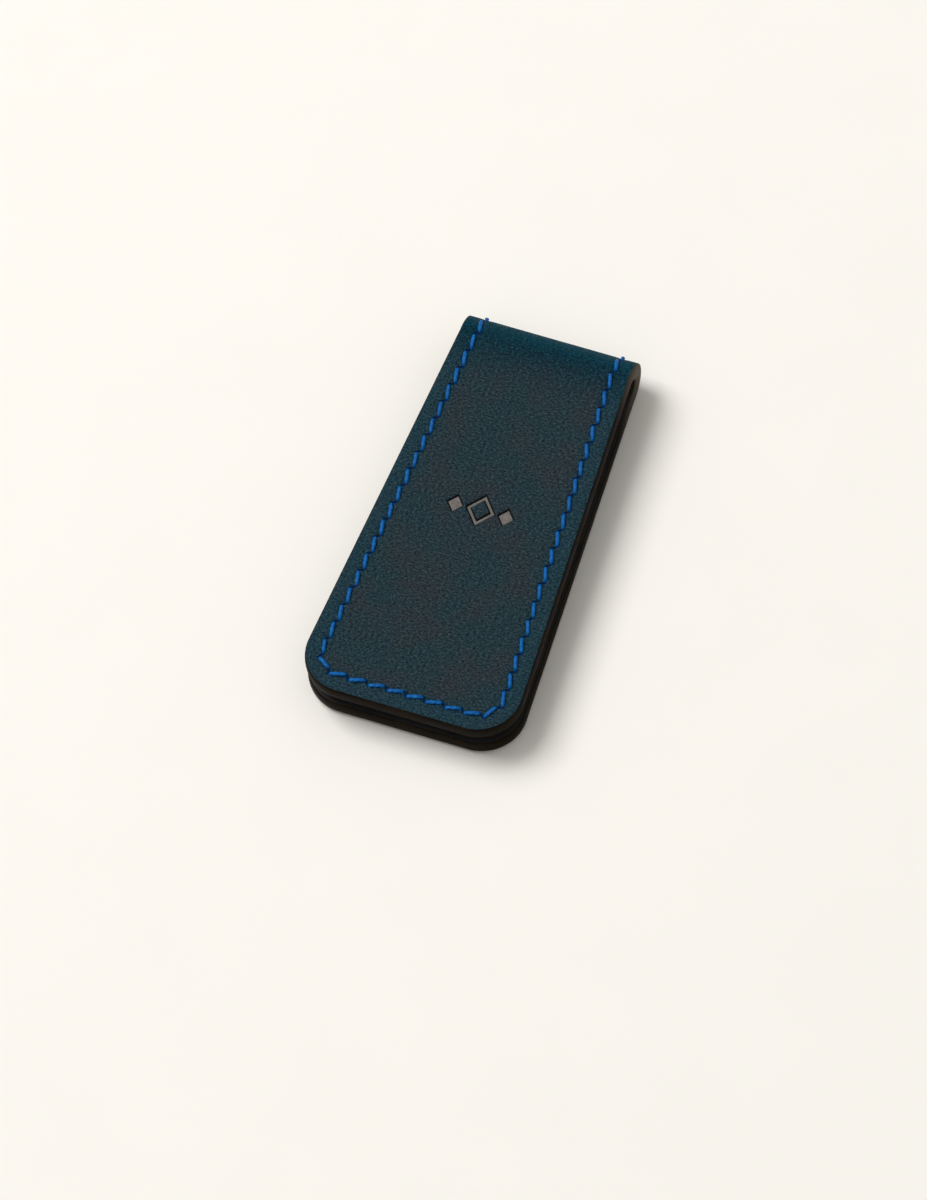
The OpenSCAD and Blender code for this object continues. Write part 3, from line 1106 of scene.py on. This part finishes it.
print("a short run of 3 rings of 4 has", len(run_faces(4, 3, 1)), "faces")

# %% Rows of runs
RUN_END = 0.47
PARTS = ("upper", "bend", "lower")
OUTSIDE = {"proud": 0.13, "half_w": 0.34, "half_h": 0.27, "sides": 24, "rings": 27}
INSIDE = {"proud": -0.06, "half_w": 0.34, "half_h": 0.2, "sides": 12, "rings": 15}


def runs_of(part):
    """The numbers of the runs on one part of the strip: upper, bend or lower."""
    middle = (SLITS[:, 1] + np.roll(SLITS, -1, 0)[:, 1]) / 2
    part_of = np.where(middle < 0, "upper", np.where(middle > BEND_LEN, "lower", "bend"))
    return np.flatnonzero(part_of == part)


def thread_piece(name, part, face_t, side, size, seed):
    rng = np.random.default_rng(seed)
    sides, rings = size["sides"], size["rings"]
    template = run_faces(sides, rings, side)
    hide, strand, faces = [], [], []
    for count, i in enumerate(runs_of(part)):
        j = (i + 1) % len(SLITS)
        lean = RUN_END + rng.uniform(-0.05, 0.05)
        start, end = SLITS[i] + lean * SLIT_DIR[i], SLITS[j] - lean * SLIT_DIR[j]
        run = thread_run(start, end, face_t, side, rng=rng, **size)
        faces += [tuple(n + count * sides * rings for n in f) for f in template]
        hide.append(run[0])
        strand.append(run[1])
    piece = make_mesh(f"{name}_{part}", np.concatenate(hide), faces, [THREAD])
    values = np.concatenate(strand).astype("f4").ravel()
    piece.data.attributes.new("strand", "FLOAT_VECTOR", "POINT").data.foreach_set("vector", values)
    return piece


outside_runs = {part: thread_piece("thread_outside", part, 0, -1, OUTSIDE, seed)
                for part, seed in zip(PARTS, (11, 12, 13))}
inside_runs = {part: thread_piece("thread_inside", part, STRIP_T, 1, INSIDE, seed)
               for part, seed in zip(PARTS, (21, 22, 23))}
print("thread:", len(SLITS), "runs on each side")

# %% [markdown]
# ## Magnets
#
# The two magnets keep the shape they have in the frame. They are sealed between the leathers, and
# their bright nickel shows only where the strip is cut open.

# %% Nickel plating
def nickel():
    material, tree, shader = new_finish("nickel_plating", Metallic=1.0)
    spot = add(tree, "ShaderNodeTexCoord").outputs["Object"]
    marks = noise(tree, spot, 0.0012, 4, 0.6)
    colour = mix(tree, marks, rgb(196, 192, 184), rgb(222, 219, 212))
    tree.links.new(colour, shader.inputs["Base Color"])
    tree.links.new(remap(tree, marks, 0.3, 0.7, 0.16, 0.3), shader.inputs["Roughness"])
    tree.links.new(bump(tree, marks, 0.004), shader.inputs["Normal"])
    return material


NICKEL = nickel()
for magnet in ("magnet_upper", "magnet_lower"):
    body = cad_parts[magnet]
    body.data.materials.clear()
    body.data.materials.append(NICKEL)
print("magnets dressed in", NICKEL.name)

# %% [markdown]
# ## Moving with the arms
#
# Each leather runs from the lower arm, round the bend, to the upper arm. Its place is baked into its mesh,
# and the frame's own pieces for it are hidden. Runs of thread on an arm ride on that arm's body; those on
# the bend are baked like their leather.

# %% Bake the leathers in place
SHARP_ANGLE = math.radians(50)


def bend_blend(piece):
    """Bakes the piece's place into its mesh."""
    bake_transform(piece)


def named(kind):
    return [f"{kind}_{part}" for part in PARTS]


HALF_GAP = TIP_GAP / 2
LAYERS = (
    (outer, HALF_GAP + STRIP_T - OUTER_T, "outer", "outer_leather"),
    (filler, HALF_GAP + STRIP_T - FILLER_END_T, "filler", "filler_leather"),
    (lining, HALF_GAP, "lining", "lining_leather"),
)
for piece, half, kind, slot_name in LAYERS:
    piece.data.set_sharp_from_angle(angle=SHARP_ANGLE)
    bend_blend(piece)
    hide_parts(*named(kind))

# %% Thread rides on the arms
for runs, half in ((outside_runs, LAYERS[0][1]), (inside_runs, LAYERS[2][1])):
    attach(runs["upper"], "upper_arm")
    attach(runs["lower"], "lower_arm")
    bend_blend(runs["bend"])
    for part in PARTS:
        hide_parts(f"stitches_{part}")

# %% [markdown]
# ## Studio
#
# The clip lies on a pale, warm-white sheet, set low enough for the stitches under the lower arm to
# clear it. One large soft light stands high on its left, so the shadow falls softly to the right, and
# the white room fills the rest.

# %% Floor
FLOOR_HALF = 12
FLOOR_HEIGHT = -0.00044


def pale_paper():
    material, tree, shader = new_finish("pale_paper", Specular_IOR_Level=0.1, Roughness=0.9)
    spot = add(tree, "ShaderNodeTexCoord").outputs["Object"]
    colour = mix(tree, noise(tree, spot, 0.02, 3), rgb(250, 247, 241), rgb(253, 250, 244))
    tree.links.new(colour, shader.inputs["Base Color"])
    return material


def floor_sheet(half, height):
    mesh = bpy.data.meshes.new("floor")
    corners = [(-half, -half, height), (half, -half, height), (half, half, height), (-half, half, height)]
    mesh.from_pydata(corners, [], [(0, 1, 2, 3)])
    mesh.materials.append(pale_paper())
    sheet = bpy.data.objects.new("floor", mesh)
    bpy.context.scene.collection.objects.link(sheet)


floor_sheet(FLOOR_HALF, FLOOR_HEIGHT)
print("floor", FLOOR_HEIGHT, "from zero")


# %% Room
FLOOR_LEVEL_LIGHT, OVERHEAD_LIGHT = 0.26, 0.57


def white_room():
    """A white room that is brighter overhead than at floor level."""
    world = bpy.data.worlds.new("white_room")
    bpy.context.scene.world = world
    world.use_nodes = True
    tree = world.node_tree
    spot = add(tree, "ShaderNodeTexCoord").outputs["Generated"]
    height = add(tree, "ShaderNodeSeparateXYZ", {0: spot}).outputs[2]
    background = tree.nodes["Background"]
    background.inputs["Color"].default_value = rgb(254, 253, 249)
    strength = remap(tree, height, 0.3, 0.85, FLOOR_LEVEL_LIGHT, OVERHEAD_LIGHT)
    tree.links.new(strength, background.inputs["Strength"])


white_room()
bpy.context.scene.view_settings.view_transform = "Standard"
print("room ready")


# %% Lights
def soft_light(name, azimuth, elevation, distance, size, power):
    """A square soft light aimed at the clip, from a bearing clockwise from +Y."""
    a, e = math.radians(azimuth), math.radians(elevation)
    away = Vector((math.sin(a) * math.cos(e), math.cos(a) * math.cos(e), math.sin(e)))
    data = bpy.data.lights.new(name, "AREA")
    data.energy, data.size = power, size
    lamp = bpy.data.objects.new(name, data)
    lamp.location = away * distance
    lamp.rotation_euler = away.to_track_quat("Z", "Y").to_euler()
    bpy.context.scene.collection.objects.link(lamp)


soft_light("softbox", azimuth=-76, elevation=54, distance=2.7, size=1.5, power=53)
print("one soft light")

# %% [markdown]
# ## Camera
#
# A long lens from well back keeps the near and far ends of the clip in true proportion. It looks
# down steeply from the front right, and is turned a little so that the clip leans.

# %% Camera
AZIMUTH, ELEVATION, ROLL = math.radians(29.98), math.radians(61.64), math.radians(-10.75)
VIEW_DISTANCE = 2.4478
VIEW_TARGET = Vector((0.00095, -0.01092, 0))
LENS, SENSOR_WIDTH, CLIP_END = 447.9, 36, 20


def long_camera():
    level = math.cos(ELEVATION)
    away = Vector((math.sin(AZIMUTH) * level, -math.cos(AZIMUTH) * level, math.sin(ELEVATION)))
    right = Vector((math.cos(AZIMUTH), math.sin(AZIMUTH), 0))
    up = away.cross(right)
    c, s = math.cos(ROLL), math.sin(ROLL)
    side, top = c * right + s * up, c * up - s * right
    data = bpy.data.cameras.new("camera")
    data.lens, data.sensor_width, data.clip_end = LENS, SENSOR_WIDTH, CLIP_END
    camera = bpy.data.objects.new("camera", data)
    turn = Matrix((side, top, away)).transposed()
    camera.matrix_world = Matrix.Translation(VIEW_TARGET + away * VIEW_DISTANCE) @ turn.to_4x4()
    bpy.context.scene.collection.objects.link(camera)
    return camera


bpy.context.scene.camera = long_camera()
print("camera set")
